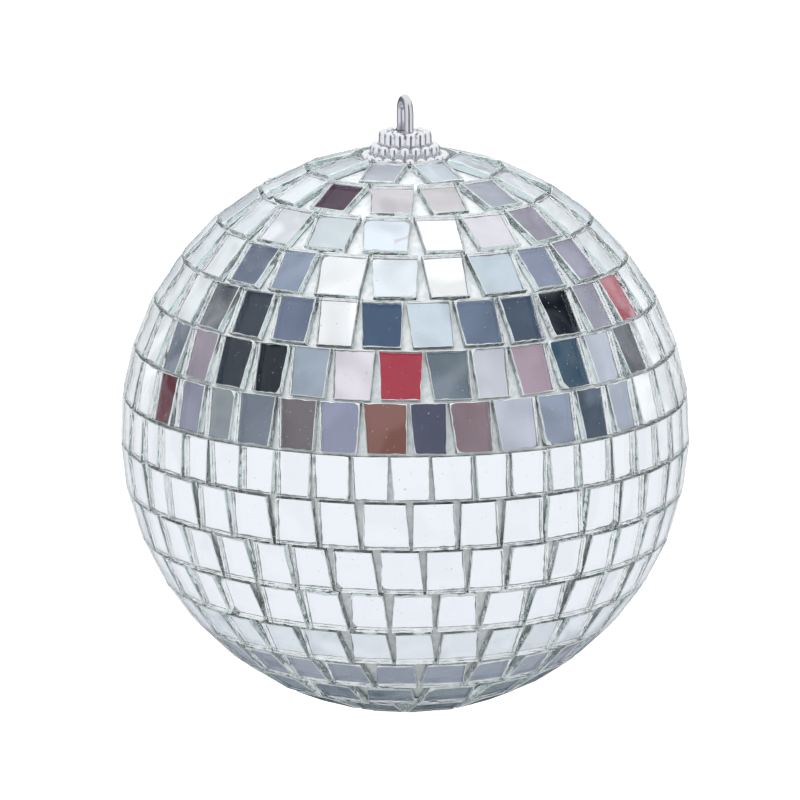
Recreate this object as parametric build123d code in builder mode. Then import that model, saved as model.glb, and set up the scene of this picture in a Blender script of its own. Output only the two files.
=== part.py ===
"""Small hanging mirror ball: a hollow core covered in glued mirror tiles, with a crown cap and a wire bail.

Millimetres, +Z up. The origin is the centre of the bail's arch, the point the ball hangs from.
The bail lies in the YZ plane, so a hook goes through it along X.
"""

from build123d import *
import os
from math import acos, cos, degrees, hypot, radians, sin, sqrt, tan
from random import Random

# ---- driving dimensions -------------------------------------------------------------------------

ball_diameter = 60.0        # over the corners of the mirror tiles
tile_thickness = 0.8        # silvered glass
tile_crown = 0.2            # a flat tile's middle lies this far inside the ball's outer diameter
film_thickness = 0.25       # adhesive that the tiles are bedded in
core_wall = 1.2             # moulded shell

row_gap = 0.14              # between rows, at the backs of the tiles
side_gap = 0.16             # between neighbours in a row, at the backs of the tiles
crown_gap = 0.3             # from the cap round to the backs of the first row
waist_row_pitch = 9.2       # degrees of latitude: the closing row is squeezed a little
lower_row_pitch = 9.8       # and those below it are a little wider
waist_row_top = 8.0         # latitude where the rows laid from above end

spigot_height = 1.5         # lip of the upper shell inside the lower one
spigot_wall = 0.55
spigot_clearance = 0.05

neck_outer_diameter = 5.4
neck_inner_diameter = 4.2
neck_height = 1.0           # above the core's own surface at the neck's outer wall

cap_fit = 0.1               # radial clearance of the cap over the neck
cap_seat_gap = 0.05         # the cap rides just off the neck's rim and the core
cap_height = 1.9            # top of the cap above the ball's outer diameter
tier_diameters = [5.65, 7.4, 9.35]
tier_heights = [1.36, 1.0]          # the lowest tier lies between the first row's tiles
tier_beads = [12, 17, 22]
top_wall = 0.34             # behind the roots of the top tier's beads
bead_sink = 0.55            # share of a bead's radius that stands proud of its tier
cap_plate = 0.5             # thickness of the cap's top plate and of its inner step
dome_rise = 0.32            # the beads' domed heads stand this far above each tier's flat

wire_diameter = 0.95
leg_spacing = 3.0           # between the bail's legs, centre to centre
leg_straight = 1.7          # from the cap's rim up to where the arch starts
leg_hole_clearance = 0.15   # radial, around each leg in the cap
foot_reach = 4.3            # how far the feet turn out under the neck, from the axis
foot_bend = 0.9             # centreline radius of the bend into each foot
foot_gap = 0.1              # between the feet and the inside of the core

pole_tile_gap = 0.35        # around the six-sided tile that closes the foot

# ---- rows of tiles --------------------------------------------------------------------------------
# How many go round, where the first joint lies in degrees, and how much narrower a tile's edge
# towards the waist is than its edge towards the pole.

upper_rows = [
    (8, 34.5, 0.1),
    (14, 3.0, 0.3),
    (19, 10.2, 0.35),
    (25, 13.5, 0.35),
    (32, 7.5, 0.35),
    (37, 5.4, 0.4),
    (40, 2.6, 0.4),
]
waist_row = (46, 1.5, 0.3)
lower_rows = [
    (39, 6.2, 0.45),
    (40, 6.2, 0.45),
    (36, 1.8, 0.45),
    (33, 0.6, 0.4),
    (27, 5.9, 0.4),
    (18, 0.0, 0.3),
    (13, 6.3, 0.1),
    (9, 30.0, -0.9),
]

tile_tilt = 1.0             # degrees that a hand-laid tile may lean either way
tile_twist = 0.5            # degrees that it may turn in its own plane
joint_wander = 0.28         # how far a joint between two tiles strays along the row
tile_slew = (0.1, 2.0)      # how far the narrow edge is pushed along, as a share of the taper
corner_slip = 0.03          # unevenness of each cut corner
hand = Random(7)            # the same unevenness every time

# ---- worked out from them -----------------------------------------------------------------------

ball_radius = ball_diameter / 2
bed_radius = ball_radius - tile_crown - tile_thickness
core_radius = bed_radius - film_thickness
core_inner_radius = core_radius - core_wall

arch_radius = leg_spacing / 2
wire_radius = wire_diameter / 2
ball_z = -(ball_radius + cap_height + leg_straight)     # the ball's centre, below the hang eye

neck_outer = neck_outer_diameter / 2
neck_inner = neck_inner_diameter / 2
neck_foot_z = sqrt(core_radius**2 - neck_outer**2)
neck_top_z = neck_foot_z + neck_height

tier_radii = [diameter / 2 for diameter in tier_diameters]
cap_top_z = ball_radius + cap_height
cap_foot_z = core_radius
film_mouth = tier_radii[2] + cap_fit

# Everything on the ball is drawn about its centre.
ball_centre = Location((0, 0, ball_z))
ball_section = Plane(origin=(0, 0, ball_z), x_dir=(1, 0, 0), z_dir=(0, -1, 0))
ball_level = Plane(origin=(0, 0, ball_z))


def finish(builder, name):
    """Name a finished piece and write it."""
    builder.part.label = name
    export_step(builder.part, f"parts/{name}.step")


def on_circle(radius, x=None, y=None):
    """The point with x, or with y, on a circle about the ball's centre, on the section's right side."""
    if x is None:
        return (sqrt(radius**2 - y**2), y)
    return (x, sqrt(radius**2 - x**2))


def arc_between(radius, start, end):
    """An arc of a circle about the ball's centre, between two of its points."""
    middle = Vector((start[0] + end[0]) / 2, (start[1] + end[1]) / 2).normalized() * radius
    return ThreePointArc(start, (middle.X, middle.Y), end)


os.makedirs("parts", exist_ok=True)

# ---- core: two moulded half shells --------------------------------------------------------------

spigot_outer = core_inner_radius + spigot_wall
spigot_root = on_circle(core_inner_radius, y=-spigot_height)

with BuildPart() as core_upper_shell:
    with BuildSketch(ball_section):
        with BuildLine():
            neck_foot = (neck_outer, neck_foot_z)
            mouth = on_circle(core_inner_radius, x=neck_inner)
            arc_between(core_radius, (core_radius, 0), neck_foot)
            Polyline(neck_foot, (neck_outer, neck_top_z), (neck_inner, neck_top_z), mouth)
            arc_between(core_inner_radius, mouth, spigot_root)
            Polyline(
                spigot_root,
                (spigot_outer, -spigot_height),
                (spigot_outer, 0),
                (core_radius, 0),
            )
        make_face()
    revolve(axis=Axis.Z)
finish(core_upper_shell, "core_upper_shell")

rebate_depth = spigot_height + spigot_clearance
rebate_radius = spigot_outer + spigot_clearance
rebate_root = on_circle(core_inner_radius, y=-rebate_depth)

with BuildPart() as core_lower_shell:
    with BuildSketch(ball_section):
        with BuildLine():
            Polyline(
                (core_radius, 0),
                (rebate_radius, 0),
                (rebate_radius, -rebate_depth),
                rebate_root,
            )
            arc_between(core_inner_radius, rebate_root, (0, -core_inner_radius))
            Line((0, -core_inner_radius), (0, -core_radius))
            arc_between(core_radius, (0, -core_radius), (core_radius, 0))
        make_face()
    revolve(axis=Axis.Z)
finish(core_lower_shell, "core_lower_shell")

# ---- adhesive film on each half -----------------------------------------------------------------

film_edge = on_circle(core_radius, x=film_mouth)
film_lip = on_circle(bed_radius, x=film_mouth)

with BuildPart() as adhesive_upper:
    with BuildSketch(ball_section):
        with BuildLine():
            Line((core_radius, 0), (bed_radius, 0))
            arc_between(bed_radius, (bed_radius, 0), film_lip)
            Line(film_lip, film_edge)
            arc_between(core_radius, film_edge, (core_radius, 0))
        make_face()
    revolve(axis=Axis.Z)
finish(adhesive_upper, "adhesive_upper")

with BuildPart() as adhesive_lower:
    with BuildSketch(ball_section):
        with BuildLine():
            Line((core_radius, 0), (bed_radius, 0))
            arc_between(bed_radius, (bed_radius, 0), (0, -bed_radius))
            Line((0, -bed_radius), (0, -core_radius))
            arc_between(core_radius, (0, -core_radius), (core_radius, 0))
        make_face()
    revolve(axis=Axis.Z)
finish(adhesive_lower, "adhesive_lower")

# ---- mirror tiles: rows of separate glass squares, each flat on the adhesive ---------------------


def outward(latitude, turn):
    """The direction from the ball's centre at a latitude and a turn about Z, in degrees."""
    level = cos(radians(latitude))
    return Vector(level * cos(radians(turn)), level * sin(radians(turn)), sin(radians(latitude)))


def stray(limit):
    """A small hand-laid error, up to a limit either way."""
    return hand.uniform(-limit, limit)


def tile_plane(latitude, turn):
    """The plane of a tile's back: it leans a little and still touches the adhesive."""
    place = outward(latitude, turn)
    lean_turn = turn + stray(tile_tilt) / cos(radians(latitude))
    normal = outward(latitude + stray(tile_tilt), lean_turn)
    east = Vector(-sin(radians(turn)), cos(radians(turn)), 0)
    origin = place * (bed_radius / normal.dot(place)) + Vector(0, 0, ball_z)
    return Plane(origin=origin, x_dir=east, z_dir=normal)


def tile_corners(latitude, pitch, span, taper):
    """The outline of one tile, in its own plane, for its share of the row in degrees."""
    pole = 1 if latitude > 0 else -1
    reach = bed_radius * tan(radians(pitch / 2))
    half_span = tan(radians(span / 2))
    middle_radius = bed_radius * cos(radians(latitude))
    inset = reach * sin(radians(abs(latitude)))
    near_pole = (middle_radius - inset) * half_span - side_gap / 2
    waist_room = (middle_radius + inset) * half_span - side_gap / 2
    near_waist = min(near_pole - taper / 2, waist_room)
    # Each tile is pushed up to the one before it, so the spare room lies in a wedge on one side.
    slew = pole * hand.uniform(*tile_slew) * abs(taper) / 2
    room = waist_room - near_waist
    slew = max(-room, min(room, slew))
    # A straight edge's corners stand out past the circle that the row follows.
    edge_radius = middle_radius + inset
    bulge = (hypot(edge_radius, near_waist + abs(slew)) - edge_radius) * sin(radians(abs(latitude)))
    pole_edge = pole * (reach - row_gap / 2)
    waist_edge = -pole * (reach - row_gap / 2 - bulge)
    twist = tan(radians(stray(tile_twist)))
    corners = []
    for u, v in (
        (-near_pole, pole_edge),
        (slew - near_waist, waist_edge),
        (slew + near_waist, waist_edge),
        (near_pole, pole_edge),
    ):
        corners.append((u - v * twist + stray(corner_slip), v + u * twist + stray(corner_slip)))
    return corners


def mirror_row(number, top_latitude, pitch, tiles, first_joint, taper):
    """One row of tiles between two latitudes, as a group of separate solids."""
    latitude = top_latitude - pitch / 2
    wander = degrees(joint_wander / (bed_radius * cos(radians(latitude))))
    joints = [first_joint + 360 * i / tiles + stray(wander) for i in range(tiles)]
    joints.append(joints[0] + 360)
    with BuildPart() as row:
        for start, end in zip(joints, joints[1:]):
            with BuildSketch(tile_plane(latitude, (start + end) / 2)):
                Polygon(*tile_corners(latitude, pitch, end - start, taper), align=None)
        extrude(amount=tile_thickness)
    finish(row, f"mirror_row_{number:02d}")


# The rows laid from above share out what there is between the cap and the waist.
crown_latitude = degrees(acos((tier_radii[2] + crown_gap) / bed_radius))
upper_row_pitch = (crown_latitude - waist_row_top) / len(upper_rows)

rows = []
latitude = crown_latitude
for row in upper_rows:
    rows.append((latitude, upper_row_pitch, *row))
    latitude -= upper_row_pitch
rows.append((latitude, waist_row_pitch, *waist_row))
latitude -= waist_row_pitch
for row in lower_rows:
    rows.append((latitude, lower_row_pitch, *row))
    latitude -= lower_row_pitch

for number, row in enumerate(rows, start=1):
    mirror_row(number, *row)

# The six-sided tile fills the ring that the last row leaves at the foot.
foot_ring = bed_radius * cos(radians(latitude))

with BuildPart() as pole_tile:
    with BuildSketch(Plane(origin=(0, 0, ball_z - bed_radius), x_dir=(1, 0, 0), z_dir=(0, 0, -1))):
        RegularPolygon(radius=foot_ring - pole_tile_gap, side_count=6)
    extrude(amount=tile_thickness)
finish(pole_tile, "pole_tile")

# ---- crown cap: three beaded tiers, hollow over the neck ------------------------------------------

tier_tops = [cap_top_z, cap_top_z - tier_heights[0], cap_top_z - sum(tier_heights)]
tier_feet = [tier_tops[1] - dome_rise, tier_tops[2] - dome_rise, cap_foot_z + cap_seat_gap]
leg_hole = wire_radius + leg_hole_clearance
bead_radii = []
root_radii = []
for crest, beads in zip(tier_radii, tier_beads):
    # Neighbouring beads just run into each other at their widest.
    bead = crest * sin(radians(180 / beads)) / (1 + (1 - bead_sink) * sin(radians(180 / beads)))
    bead_radii.append(bead)
    root_radii.append(crest - bead * bead_sink)

with BuildPart() as crown_cap:
    for top, foot, crest, root, bead, beads in zip(
        tier_tops, tier_feet, tier_radii, root_radii, bead_radii, tier_beads
    ):
        with BuildSketch(ball_level.offset(foot)):
            Circle(root)
            with PolarLocations(crest - bead, beads):
                Circle(bead)
        extrude(amount=top - foot - bead)
        with BuildSketch(ball_level.offset(top - bead)):
            Circle(root)
        extrude(amount=bead - dome_rise)
        with Locations(ball_centre * Location((0, 0, top - bead))):
            with PolarLocations(crest - bead, beads):
                Sphere(bead)
    # The lowest tier is shallower than its beads are round, so they are cut off level with its foot.
    split(bisect_by=ball_level.offset(tier_feet[2]), keep=Keep.TOP)
    # Inside, a bore for the neck steps in to a narrower one for the legs.
    with BuildSketch(ball_level.offset(tier_feet[2])):
        Circle(neck_outer + cap_fit)
    extrude(amount=tier_tops[1] - dome_rise - cap_plate - tier_feet[2], mode=Mode.SUBTRACT)
    with BuildSketch(ball_level.offset(tier_feet[2])):
        Circle(root_radii[0] - top_wall)
    extrude(amount=cap_top_z - dome_rise - cap_plate - tier_feet[2], mode=Mode.SUBTRACT)
    # A hole in the top plate for each leg of the bail.
    with BuildSketch(ball_level.offset(cap_top_z)):
        with GridLocations(0, leg_spacing, 1, 2):
            Circle(leg_hole)
    extrude(amount=-(dome_rise + 2 * cap_plate), mode=Mode.SUBTRACT)
finish(crown_cap, "crown_cap")

# ---- bail: one spring wire, an arch on two legs with feet turned out under the neck ---------------

foot_underside = sqrt(core_inner_radius**2 - foot_reach**2)
foot_z = ball_z + foot_underside - foot_gap - wire_radius
bend_z = foot_z + foot_bend
bend_y = arch_radius + foot_bend

with BuildPart() as bail:
    with BuildLine(Plane.YZ) as wire:
        Line((-foot_reach, foot_z), (-bend_y, foot_z))
        CenterArc((-bend_y, bend_z), foot_bend, -90, 90)
        Line((-arch_radius, bend_z), (-arch_radius, 0))
        CenterArc((0, 0), arch_radius, 180, -180)
        Line((arch_radius, 0), (arch_radius, bend_z))
        CenterArc((bend_y, bend_z), foot_bend, 180, 90)
        Line((bend_y, foot_z), (foot_reach, foot_z))
    with BuildSketch(Plane(origin=(0, -foot_reach, foot_z), x_dir=(1, 0, 0), z_dir=(0, 1, 0))):
        Circle(wire_radius)
    sweep(path=wire.line)
finish(bail, "bail")

tile_count = sum(row[2] for row in rows) + 1
print(f"{tile_count} tiles, ball centre {ball_z:.2f}, pole ring radius {foot_ring:.2f}")
print(f"row 1 starts {crown_latitude:.2f} degrees up, rows are {upper_row_pitch:.2f} degrees")
print(f"cap lift {leg_straight + dome_rise:.2f}, arch top {arch_radius + wire_radius:.3f}")
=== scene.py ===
"""Small hanging mirror ball: the looks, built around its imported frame. Metres, +Z up."""
import math
import random

import bmesh
import bpy
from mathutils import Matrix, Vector


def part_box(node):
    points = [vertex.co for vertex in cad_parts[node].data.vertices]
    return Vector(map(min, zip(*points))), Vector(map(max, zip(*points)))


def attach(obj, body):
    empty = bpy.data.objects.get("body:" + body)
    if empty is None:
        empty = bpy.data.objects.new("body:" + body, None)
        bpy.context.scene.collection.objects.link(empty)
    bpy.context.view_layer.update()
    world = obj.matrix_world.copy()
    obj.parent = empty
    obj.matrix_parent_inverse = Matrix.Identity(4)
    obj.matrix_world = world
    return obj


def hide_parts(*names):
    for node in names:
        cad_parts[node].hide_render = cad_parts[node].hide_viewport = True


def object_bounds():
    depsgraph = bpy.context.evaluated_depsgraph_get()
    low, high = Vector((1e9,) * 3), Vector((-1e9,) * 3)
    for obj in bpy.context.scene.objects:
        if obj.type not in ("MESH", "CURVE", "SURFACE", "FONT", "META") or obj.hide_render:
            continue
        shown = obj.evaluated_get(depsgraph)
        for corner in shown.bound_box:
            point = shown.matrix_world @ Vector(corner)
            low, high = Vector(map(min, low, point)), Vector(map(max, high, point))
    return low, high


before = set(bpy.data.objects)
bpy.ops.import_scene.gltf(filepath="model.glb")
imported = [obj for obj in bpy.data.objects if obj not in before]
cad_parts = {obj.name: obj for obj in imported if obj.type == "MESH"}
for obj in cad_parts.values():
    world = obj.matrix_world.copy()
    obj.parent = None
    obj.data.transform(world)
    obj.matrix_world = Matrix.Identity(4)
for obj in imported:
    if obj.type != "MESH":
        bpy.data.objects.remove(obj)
cad_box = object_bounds()

# ---- Core shells ---------------------------------------------------------------------------------
# Two hollow halves of moulded polystyrene, joined at the waist by a spigot. The upper one carries
# the neck that the cap sits on, and a ring of it shows there when the cap is lifted.

MM = 0.001


def linear(code):
    """An sRGB hex colour as linear red, green, blue and alpha."""
    parts = [int(code[i:i + 2], 16) / 255 for i in (1, 3, 5)]
    return (*[p / 12.92 if p <= 0.04045 else ((p + 0.055) / 1.055) ** 2.4 for p in parts], 1.0)


def add(tree, kind, inputs=None, **settings):
    """Adds a node. inputs maps a socket's name or number to a value, or to a socket to link from."""
    node = tree.nodes.new(kind)
    for name, value in settings.items():
        setattr(node, name, value)
    for name, value in (inputs or {}).items():
        if isinstance(value, bpy.types.NodeSocket):
            tree.links.new(value, node.inputs[name])
        else:
            node.inputs[name].default_value = value
    return node


def surface(name, **inputs):
    """A material of one Principled shader, and its node tree."""
    material = bpy.data.materials.new(name)
    material.use_nodes = True
    shader = material.node_tree.nodes["Principled BSDF"]
    for socket, value in inputs.items():
        shader.inputs[socket.replace("_", " ")].default_value = value
    return material, material.node_tree, shader


def grain(tree, size, detail=2.0):
    """Noise whose lumps are about size millimetres across, fixed to the piece."""
    place = add(tree, "ShaderNodeTexCoord").outputs["Object"]
    return add(tree, "ShaderNodeTexNoise", {"Vector": place, "Scale": 1 / (size * MM), "Detail": detail})


def roughen(tree, shader, size, height, detail=2.0):
    """Raises a surface by noise of that size and height, both in millimetres."""
    noise = grain(tree, size, detail)
    bump = add(tree, "ShaderNodeBump", {"Height": noise.outputs["Fac"], "Distance": height * MM})
    tree.links.new(bump.outputs["Normal"], shader.inputs["Normal"])
    return noise


def coat(node, material):
    """Gives a frame node its material."""
    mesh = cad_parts[node].data
    mesh.materials.clear()
    mesh.materials.append(material)


# White polystyrene, straight from a satin mould: a faint orange peel takes the edge off its shine.
polystyrene, tree, shader = surface(
    "moulded_polystyrene", Base_Color=linear("#eef1f0"), Roughness=0.42, IOR=1.59
)
roughen(tree, shader, size=0.5, height=0.01)
for node in ("core_upper_shell", "core_lower_shell"):
    coat(node, polystyrene)

# ---- Adhesive ------------------------------------------------------------------------------------
# Milky contact adhesive, rolled on each half of the core before the tiles are pressed into it. It
# shows white in the wedges between the tiles, with a wet shine on its lumps.

adhesive, tree, shader = surface(
    "dried_contact_adhesive", Base_Color=linear("#e9f1f4"), Roughness=0.3, IOR=1.47
)
lumps = roughen(tree, shader, size=0.7, height=0.12, detail=3.0)
tones = add(tree, "ShaderNodeValToRGB", {"Fac": lumps.outputs["Fac"]})
tones.color_ramp.elements[0].position = 0.35
tones.color_ramp.elements[0].color = linear("#e1ebee")
tones.color_ramp.elements[1].position = 0.6
tones.color_ramp.elements[1].color = linear("#fbfdfe")
tree.links.new(tones.outputs["Color"], shader.inputs["Base Color"])
for node in ("adhesive_upper", "adhesive_lower"):
    coat(node, adhesive)

# ---- Mirror tiles --------------------------------------------------------------------------------
# Squares of silvered float glass, scored and snapped by hand, so that their edges are chipped and
# the silver stops short of them. Each lies flat on the core and leans its own way.

EDGE_STEPS = 7              # facets along each snapped edge
FACE_CHIP = 0.12 * MM       # how far chips bite into the front edge
FOOT_CHIP = 0.04 * MM
LIP = 0.04 * MM             # width of the crushed lip round the front
LIP_DEPTH = 0.10 * MM
SILVER_MARGIN = 0.01 * MM
SILVER_FRAY = 0.06 * MM
SILVER_LIFT = 0.02 * MM     # the silver lies just inside the glass's back
SILVER_THICK = 0.02 * MM
CORNER_CHIP = 0.28 * MM     # the most that comes off where a corner is lost
CORNER_ODDS = 0.14
CHIP_BEVEL = 0.8            # how far down the edge a chip runs, as a share of its width
CHIP_FOOT = 0.35            # and how far in it still bites there
SILVER_LOSS = 0.4           # how far the silver draws back behind a chip
CORNER_LOSS = 0.9           # and behind a lost corner

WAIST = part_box("core_lower_shell")[1][2]     # the lower shell's rim is level with the ball's centre
BALL = Vector((0, 0, WAIST))

# Clear float glass: water-white face on, with the faint green of its iron.
glass, tree, shader = surface(
    "float_glass", Base_Color=linear("#fcfefe"), Roughness=0.0, IOR=1.52, Transmission_Weight=1.0
)
# Snapped glass edge: clear where the crack ran true, hackled elsewhere, greener for the longer way
# through the glass.
edge_glass, tree, shader = surface(
    "snapped_glass_edge", Base_Color=linear("#f1fbfb"), Roughness=0.05, IOR=1.52,
    Transmission_Weight=0.88
)
roughen(tree, shader, size=0.5, height=0.03, detail=2.0)
# Crushed lip along the score: white, with glints where the crumbs catch the light.
crushed_glass, tree, shader = surface(
    "crushed_glass_lip", Base_Color=linear("#f6fbfb"), Roughness=0.2, IOR=1.52,
    Transmission_Weight=0.3
)
roughen(tree, shader, size=0.12, height=0.04, detail=3.0)
# Silver on the back of float glass: a true mirror, faintly wavy as float glass is.
silver, tree, shader = surface(
    "silvering", Base_Color=linear("#fbfcfd"), Metallic=1.0, Roughness=0.01
)
roughen(tree, shader, size=4.0, height=0.02, detail=0.0)
# Pinholes and crumbs under the glass: specks of dull white.
crumbs = grain(tree, size=0.22, detail=1.0)
dull = add(tree, "ShaderNodeValToRGB", {"Fac": crumbs.outputs["Fac"]})
dull.color_ramp.elements[0].position = 0.74
dull.color_ramp.elements[0].color = (1, 1, 1, 1)
dull.color_ramp.elements[1].position = 0.78
dull.color_ramp.elements[1].color = (0, 0, 0, 1)
tree.links.new(dull.outputs["Color"], shader.inputs["Metallic"])

snap = random.Random(11)
MICRONS = 1e6               # to the metre


def tile_blocks(node):
    """The corners of each tile in a node: those of its back, then those of its face above them."""
    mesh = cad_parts[node].data
    # The frame's facets don't share their corners, so corners within a micrometre count as one.
    points = {}
    owner = []
    for vertex in mesh.vertices:
        key = tuple(round(c * MICRONS) for c in vertex.co)
        owner.append(points.setdefault(key, len(points)))
    places = {index: Vector(key) / MICRONS for key, index in points.items()}
    group = list(range(len(points)))

    def top(i):
        while group[i] != i:
            i = group[i]
        return i

    for edge in mesh.edges:
        group[top(owner[edge.vertices[0]])] = top(owner[edge.vertices[1]])
    tiles = {}
    for index in places:
        tiles.setdefault(top(index), []).append(places[index])
    for corners in tiles.values():
        corners.sort(key=lambda p: (p - BALL).length)
        half = len(corners) // 2
        back = corners[:half]
        front = [min(corners[half:], key=lambda p: (p - b).length) for b in back]
        yield back, front


def outline(corners, across, up):
    """The points round a tile, EDGE_STEPS to an edge, each with its way inward."""
    middle = sum(corners, Vector()) / len(corners)
    turning = sorted(corners, key=lambda p: math.atan2((p - middle).dot(up), (p - middle).dot(across)))
    ring = []
    for here, there, before in zip(turning, turning[1:] + turning[:1], turning[-1:] + turning[:-1]):
        along = (there - here).normalized()
        inward = across.cross(up).cross(along)
        inward_before = across.cross(up).cross((here - before).normalized())
        ring.append((here, inward + inward_before, True))
        for step in range(1, EDGE_STEPS):
            ring.append((here.lerp(there, step / EDGE_STEPS), inward, False))
    return ring


def snapped_tile(shape, back, front):
    """Adds one tile to a mesh: a chipped glass block and the silver inside its back."""
    out = (sum(front, Vector()) - sum(back, Vector())).normalized()
    level = abs(out.z) > 0.999      # the tile at the foot lies flat and faces down
    across = Vector((1, 0, 0)) if level else Vector((0, 0, 1)).cross(out)
    across.normalize()
    up = out.cross(across)
    thick = (front[0] - back[0]).dot(out)
    ring = outline(back, across, up)
    feet, lips, faces, plate, plate_top = [], [], [], [], []
    for place, inward, corner in ring:
        chip = snap.random() ** 3 * FACE_CHIP
        if corner and snap.random() < CORNER_ODDS:
            chip += snap.uniform(0.3, 1) * CORNER_CHIP
        foot = snap.random() * FOOT_CHIP
        lip_depth = LIP_DEPTH * snap.uniform(0.4, 1) + chip * CHIP_BEVEL
        loss = CORNER_LOSS if corner else SILVER_LOSS
        fray = SILVER_MARGIN + snap.random() ** 2 * SILVER_FRAY + chip * loss
        feet.append(place + inward * foot)
        lips.append(place + inward * chip * CHIP_FOOT + out * (thick - lip_depth))
        faces.append(place + inward * (chip + LIP) + out * thick)
        plate.append(place + inward * fray + out * SILVER_LIFT)
        plate_top.append(place + inward * fray + out * (SILVER_LIFT + SILVER_THICK))
    count = len(ring)
    layers = [[shape.verts.new(p) for p in layer] for layer in (feet, lips, faces, plate, plate_top)]
    # Materials by number: 0 clear glass, 1 snapped edge, 2 crushed lip, 3 silver.
    for low, high, material in ((0, 1, 1), (1, 2, 2), (3, 4, 3)):
        for i in range(count):
            j = (i + 1) % count
            quad = (layers[low][i], layers[low][j], layers[high][j], layers[high][i])
            shape.faces.new(quad).material_index = material
    for layer, material, flip in ((0, 0, True), (2, 0, False), (3, 3, True), (4, 3, False)):
        loop = layers[layer][::-1] if flip else layers[layer]
        shape.faces.new(loop).material_index = material


def piece_from(shape, name, materials, body, slot, *nodes, smooth=False):
    """Makes a piece of a finished mesh, rides it on its body, and hides the frame nodes it stands for."""
    bmesh.ops.recalc_face_normals(shape, faces=shape.faces)
    mesh = bpy.data.meshes.new(name)
    shape.to_mesh(mesh)
    shape.free()
    for material in materials:
        mesh.materials.append(material)
    if smooth:
        mesh.shade_smooth()
    piece = bpy.data.objects.new(name, mesh)
    bpy.context.scene.collection.objects.link(piece)
    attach(piece, body)
    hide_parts(*nodes)
    return piece


tile_nodes = sorted(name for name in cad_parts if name.startswith("mirror_row_"))
for node in [*tile_nodes, "pole_tile"]:
    shape = bmesh.new()
    for back, front in tile_blocks(node):
        snapped_tile(shape, back, front)
    glasses = [glass, edge_glass, crushed_glass, silver]
    piece_from(shape, f"glass_{node}", glasses, "ball", "mirror_glass", node)

# ---- Crown cap -----------------------------------------------------------------------------------
# Pressed and plated cap: three tiers of upright beads with domed heads, and a flat top with two
# holes that the legs of the bail go down through.

# Bright plating over a pressing: mirror-like, with a little softness left by the polishing.
plating, tree, shader = surface(
    "bright_plating", Base_Color=linear("#f3f4f7"), Metallic=1.0, Roughness=0.2
)
roughen(tree, shader, size=0.35, height=0.012)
coat("crown_cap", plating)

# ---- Bail ----------------------------------------------------------------------------------------
# One length of plated spring wire: an arch, two legs, and feet turned out under the neck.

# Drawn and plated spring wire: bright, with fine lines along it from the die.
spring_wire, tree, shader = surface(
    "plated_spring_wire", Base_Color=linear("#dfe0e4"), Metallic=1.0, Roughness=0.14
)
roughen(tree, shader, size=0.3, height=0.006)

WIRE_SIDES = 28
BEND_STEPS = 12             # to a quarter turn
FOOT_BEND = 0.9 * MM

low, high = (Vector(corner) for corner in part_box("bail"))
wire = (high.x - low.x) / 2
arch = high.z - wire
foot = low.z + wire
quarter = [math.radians(90 * step / BEND_STEPS) for step in range(BEND_STEPS + 1)]
# One half from its foot to the top of the arch: each point, and the way one side of the wire faces.
half = [(high.y, foot, 0, 1)]
for turn in quarter:
    y = arch + FOOT_BEND * (1 - math.sin(turn))
    half.append((y, foot + FOOT_BEND * (1 - math.cos(turn)), math.sin(turn), math.cos(turn)))
for turn in quarter:
    half.append((arch * math.cos(turn), arch * math.sin(turn), math.cos(turn), math.sin(turn)))
path = half + [(-y, z, -side_y, side_z) for y, z, side_y, side_z in half[-2::-1]]

shape = bmesh.new()
rings = []
for y, z, side_y, side_z in path:
    ring = []
    for step in range(WIRE_SIDES):
        turn = 2 * math.pi * step / WIRE_SIDES
        aside = wire * math.cos(turn)
        ring.append(shape.verts.new((wire * math.sin(turn), y + side_y * aside, z + side_z * aside)))
    rings.append(ring)
for here, there in zip(rings, rings[1:]):
    for i in range(WIRE_SIDES):
        shape.faces.new((here[i - 1], here[i], there[i], there[i - 1]))
for end in (rings[0][::-1], rings[-1]):
    shape.faces.new(end)
piece_from(shape, "bail_wire", [spring_wire], "bail", "spring_wire", "bail", smooth=True)

# ---- Studio --------------------------------------------------------------------------------------
# A white sweep with soft light. What the mirrors see is painted reflections in the world: bands of colour
# and dark gaps, set out by the way each mirror faces from the viewer.

CAMERA_TURN = math.radians(-15.5)
CAMERA_RISE = math.radians(13.4)
CAMERA_AWAY = 0.480
LENS = 204.8
AIM_RIGHT = -0.53 * MM      # the camera looks a little past the ball's centre, to have the bail in view
AIM_UP = 2.95 * MM

toward = Vector((
    math.sin(CAMERA_TURN) * math.cos(CAMERA_RISE),
    -math.cos(CAMERA_TURN) * math.cos(CAMERA_RISE),
    math.sin(CAMERA_RISE),
))
camera = bpy.data.objects.new("camera", bpy.data.cameras.new("camera"))
camera.data.lens = LENS
camera.data.clip_start = 0.01
camera.location = BALL + toward * CAMERA_AWAY
right = Vector((math.cos(CAMERA_TURN), math.sin(CAMERA_TURN), 0))
aim = BALL + right * AIM_RIGHT + toward.cross(right) * AIM_UP
camera.rotation_euler = (camera.location - aim).to_track_quat("Z", "Y").to_euler()
bpy.context.scene.collection.objects.link(camera)
bpy.context.scene.camera = camera
bpy.context.scene.view_settings.view_transform = "Standard"
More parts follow.
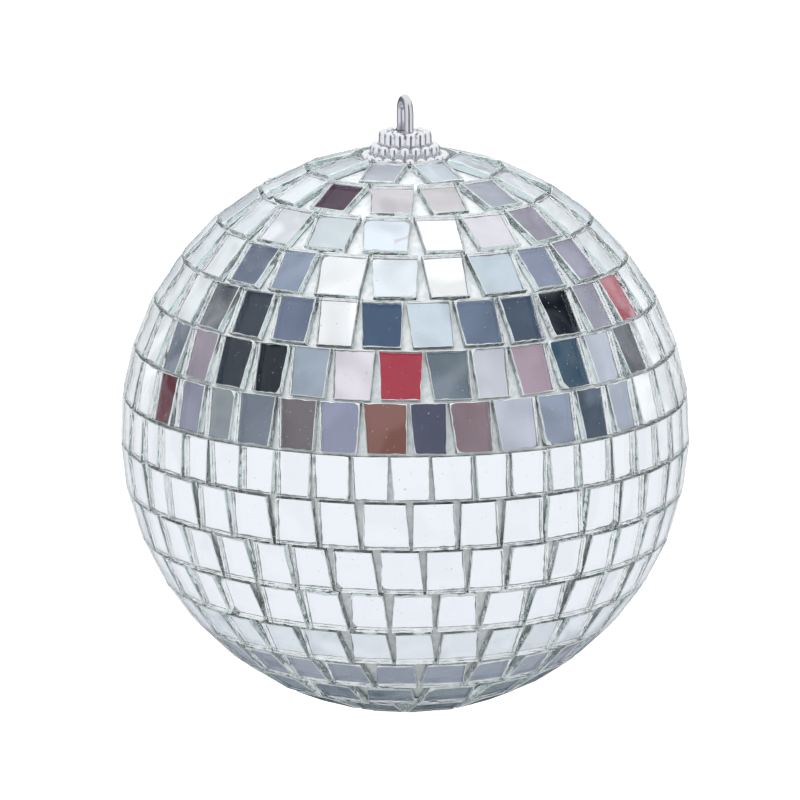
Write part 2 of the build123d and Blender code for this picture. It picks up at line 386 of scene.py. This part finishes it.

# Painted reflections: what a mirror shows depends on the way it faces, halfway between the viewer and
# what it sees. Each band of latitude has its own painted run of colours: where it ends above, its
# first longitude from the viewer's, the step to the next, and the colours from left to right.
PAINTED_REFLECTION_BANDS = [
    (79.4, -62.5, 45, "#d2d9df #b9bec9 #d2dbe4 #d5dde4"),
    (69.2, -84.4, 25.7, "#dce2e8 #e4e9ee #4a3446 #d0cbcf #d8d3d6 #a0a3b0 #dfe4e8 #dce2e8"),
    (59.0, -83.3, 18.95, "#d4dbe2 #e4e9ee #e6e7ee #dfe7ee #dfe8f2 #fcfdff #d9d6dd #9a95a5 #e6eaec #d4dbe2"),
    (48.8, -75.4, 14.4, "#dde3e8 #e6ebee #56627a #97a2b8 #fcfdff #e8eff6 #ffffff #bcc8d2 #8f99b0 "
                        "#7a748e #e6ebee #dde3e8"),
    (38.6, -83.9, 11.25, "#d4dae0 #e9ecef #e3e7ea #474a55 #2c3643 #667088 #fdfdff #3b506d #c4d0da #66748c "
                         "#435268 #101820 #9a99a8 #a83a50 #f2f4f6 #d4dae0"),
    (28.4, -78.8, 9.73, "#e4e8ec #eef1f3 #757d8c #998f9c #1b2733 #141d27 #97a2b0 #dbd5dd #b03348 #66737f "
                        "#c8ccd6 #a08c9a #3a5468 #b5bac8 #50535c #f1f3f6 #e4e8ec"),
    (18.2, -85.4, 9, "#d9dee4 #f0f2f4 #f4f6fa #5c2f38 #85879a #8f979b #6f7888 #6a6468 #9498b0 #7d5650 "
                     "#454a60 #857078 #b9bccb #8b95a8 #1e3445 #8f97a8 #f2f4f8 #f4f6fa #f0f2f4 #d9dee4"),
]
BAND = 10.2                 # degrees of latitude
BAND_BLUR = 0.6
WAIST_BAND = 8              # the painted brighter and darker sweeps start above this latitude
REFLECTION_WANDER = 0.13              # how far a colour wanders, as a share of the ball's radius
TILE_HITS = 4.5             # a clean look into a mirror tile and out takes fewer bounces than this
METAL_HITS = 2.5            # and one off bare metal fewer than this
world = bpy.data.worlds.new("studio")
bpy.context.scene.world = world
world.use_nodes = True
tree = world.node_tree
tree.nodes.clear()

look = add(tree, "ShaderNodeTexCoord").outputs["Generated"]
# The painted reflections are set out from the viewer's direction: each look becomes the facing a mirror
# needs to show it.
half = add(tree, "ShaderNodeVectorMath", {0: look, 1: toward}, operation="ADD").outputs[0]
turned = add(
    tree, "ShaderNodeVectorRotate", {"Vector": half, "Angle": -CAMERA_TURN}, rotation_type="Z_AXIS"
).outputs[0]
steady = add(tree, "ShaderNodeVectorMath", {0: turned}, operation="NORMALIZE").outputs[0]
# Noise lets each painted reflection colour wander into its neighbours.
wander_noise = add(tree, "ShaderNodeTexNoise", {"Vector": steady, "Scale": 70.0, "Detail": 2.0})
stray = add(tree, "ShaderNodeVectorMath", {
    0: wander_noise.outputs["Color"], 1: (-0.5, -0.5, -0.5),
}).outputs[0]
facing = add(tree, "ShaderNodeVectorMath", {
    0: stray, 1: (REFLECTION_WANDER, REFLECTION_WANDER, REFLECTION_WANDER), 2: steady,
}, operation="MULTIPLY_ADD").outputs[0]
axes = add(tree, "ShaderNodeSeparateXYZ", {0: facing})
back = add(tree, "ShaderNodeMath", {0: axes.outputs["Y"], 1: -1.0}, operation="MULTIPLY").outputs[0]
longitude = add(tree, "ShaderNodeMath", {0: axes.outputs["X"], 1: back}, operation="ARCTAN2").outputs[0]
along = add(tree, "ShaderNodeMapRange", {
    "Value": longitude, "From Min": math.radians(-90), "From Max": math.radians(90),
}).outputs[0]
latitude = add(tree, "ShaderNodeMath", {0: axes.outputs["Z"]}, operation="ARCSINE").outputs[0]


def painted_light_ramp(stops, factor):
    """Painted light: colours side by side, each (place, hex) fading into the next."""
    node = add(tree, "ShaderNodeValToRGB", {"Fac": factor})
    node.color_ramp.interpolation = "EASE"
    elements = node.color_ramp.elements
    while len(elements) < len(stops):
        elements.new(0.5)
    for element, (position, code) in zip(elements, stops):
        element.position = position
        element.color = linear(code)
    return node.outputs["Color"]


# Below the waist the mirrors show a painted reflection of a white table, going dark where the ball's own
# shadow is painted on it.
below = add(tree, "ShaderNodeMapRange", {
    "Value": latitude, "From Min": math.radians(-90), "From Max": math.radians(10),
}).outputs[0]
painted_reflection = painted_light_ramp([
    (0.10, "#33414a"), (0.25, "#44535d"), (0.35, "#67747f"), (0.45, "#9096a5"), (0.55, "#e6ebf2"),
    (0.65, "#f3f5fc"), (1.0, "#f6f8fd"),
], below)
# Each band's painted reflection colours lie over those of the bands below it.
for top, first, step, codes in reversed(PAINTED_REFLECTION_BANDS):
    stops = [((90 + first + i * step) / 180, code) for i, code in enumerate(codes.split())]
    above = add(tree, "ShaderNodeMapRange", {
        "Value": latitude,
        "From Min": math.radians(top - BAND - BAND_BLUR),
        "From Max": math.radians(top - BAND + BAND_BLUR),
    }).outputs[0]
    painted_reflection = add(
        tree, "ShaderNodeMix", {"Factor": above, "A": painted_reflection, "B": painted_light_ramp(stops, along)}, data_type="RGBA"
    ).outputs["Result"]
# Painted reflections: soft brighter and darker shapes within each band, that a tile shows as a sweep of
# light across it.
shapes = add(tree, "ShaderNodeTexNoise", {"Vector": steady, "Scale": 55.0, "Detail": 0.0})
painted_sweep = add(tree, "ShaderNodeMapRange", {
    "Value": shapes.outputs["Fac"], "From Min": 0.35, "From Max": 0.65, "To Min": 0.92, "To Max": 1.2,
}).outputs[0]
upper = add(tree, "ShaderNodeMapRange", {
    "Value": latitude, "From Min": math.radians(WAIST_BAND), "From Max": math.radians(WAIST_BAND + 1),
}).outputs[0]
painted_reflection = add(tree, "ShaderNodeMix", {
    "Factor": upper, "A": painted_reflection, "B": painted_sweep,
}, data_type="RGBA", blend_type="MULTIPLY").outputs["Result"]
path = add(tree, "ShaderNodeLightPath")
sharp = add(tree, "ShaderNodeMath", {
    0: path.outputs["Is Glossy Ray"], 1: path.outputs["Is Transmission Ray"],
}, operation="MAXIMUM").outputs[0]
# Light that has left a matt surface is plain, even if it then goes through glass.
mirrored = add(tree, "ShaderNodeMath", {
    0: sharp, 1: path.outputs["Diffuse Depth"],
}, operation="SUBTRACT", use_clamp=True).outputs[0]
# Rays that have wandered deep through a tile's edges get painted light that stands for a little of
# everything: pale, with dark painted streaks.
wandered = add(tree, "ShaderNodeMath", {
    0: path.outputs["Ray Depth"], 1: TILE_HITS,
}, operation="GREATER_THAN")
muddle = add(tree, "ShaderNodeTexNoise", {"Vector": look, "Scale": 9.0, "Detail": 2.0})
painted_edge_streaks = painted_light_ramp([
    (0.0, "#2f3640"), (0.35, "#4a515c"), (0.39, "#c6c3cc"), (0.45, "#f5f9fa"), (1.0, "#ffffff"),
], muddle.outputs["Fac"])
painted_reflection = add(tree, "ShaderNodeMix", {
    "Factor": wandered.outputs[0], "A": painted_reflection, "B": painted_edge_streaks,
}, data_type="RGBA").outputs["Result"]
# Painted reflection for bare metal, which turns away too fast to pick out colours: white to the sides and
# overhead, and a painted dark gap where the viewer is.
painted_metal_sides = painted_light_ramp([
    (0.0, "#4c4d56"), (0.16, "#83858f"), (0.27, "#e9eaee"), (0.44, "#f8f8fa"), (0.48, "#5a5b64"),
    (0.54, "#5a5b64"), (0.58, "#f8f8fa"), (0.73, "#e9eaee"), (0.84, "#83858f"), (1.0, "#4c4d56"),
], along)
overhead = add(tree, "ShaderNodeMapRange", {
    "Value": latitude, "From Min": math.radians(30), "From Max": math.radians(45),
}).outputs[0]
painted_metal_reflection = add(tree, "ShaderNodeMix", {
    "Factor": overhead, "A": painted_metal_sides, "B": linear("#fbfbfc"),
}, data_type="RGBA").outputs["Result"]
first = add(tree, "ShaderNodeMath", {
    0: path.outputs["Ray Depth"], 1: METAL_HITS,
}, operation="LESS_THAN")
bare = add(tree, "ShaderNodeMath", {
    0: first.outputs[0], 1: path.outputs["Is Singular Ray"],
}, operation="SUBTRACT", use_clamp=True)
painted_reflection = add(tree, "ShaderNodeMix", {
    "Factor": bare.outputs[0], "A": painted_reflection, "B": painted_metal_reflection,
}, data_type="RGBA").outputs["Result"]
plain = add(tree, "ShaderNodeMix", {
    "Factor": path.outputs["Is Camera Ray"], "A": linear("#fafbfc"), "B": (1, 1, 1, 1),
}, data_type="RGBA").outputs["Result"]
shown = add(
    tree, "ShaderNodeMix", {"Factor": mirrored, "A": plain, "B": painted_reflection}, data_type="RGBA"
).outputs["Result"]
sky = add(tree, "ShaderNodeBackground", {"Color": shown, "Strength": 1.0})
add(tree, "ShaderNodeOutputWorld", {"Surface": sky.outputs[0]})

# Floor: a pale sweep well under the hanging ball.
FLOOR_DROP = 45 * MM
FLOOR_SIZE = 6.0
bpy.ops.mesh.primitive_plane_add(size=FLOOR_SIZE, location=(0, 0, cad_box[0][2] - FLOOR_DROP))
floor = bpy.context.object
floor.name = "floor"
floor.visible_glossy = False
floor.visible_transmission = False
# White paper, lifted towards white for the camera alone, so that it still shows the ball's shadow.
PAPER_LIFT = 0.72
paper, tree, shader = surface(
    "white_paper_sweep", Base_Color=linear("#b8b8b8"), Roughness=0.9, Emission_Color=(1, 1, 1, 1)
)
path = add(tree, "ShaderNodeLightPath")
lift = add(tree, "ShaderNodeMath", {
    0: path.outputs["Is Camera Ray"], 1: PAPER_LIFT,
}, operation="MULTIPLY")
tree.links.new(lift.outputs[0], shader.inputs["Emission Strength"])
floor.data.materials.append(paper)

# Softboxes: where each stands as the ball sees it, in degrees, then its watts and its width.
LAMP_AWAY = 0.6
for name, turn, rise, power, size in (
    ("key_softbox", -50, 50, 0.9, 0.35),
    ("fill_softbox", 35, 25, 0.5, 0.45),
    ("back_softbox", 165, 40, 0.5, 0.35),
):
    lamp = bpy.data.objects.new(name, bpy.data.lights.new(name, "AREA"))
    lamp.data.energy = power
    lamp.data.size = size
    turn, rise = math.radians(turn), math.radians(rise)
    level = math.cos(rise)
    from_ball = Vector((math.sin(turn) * level, -math.cos(turn) * level, math.sin(rise)))
    lamp.location = BALL + from_ball * LAMP_AWAY
    lamp.rotation_euler = from_ball.to_track_quat("Z", "Y").to_euler()
    lamp.visible_glossy = False
    lamp.visible_transmission = False
    bpy.context.scene.collection.objects.link(lamp)
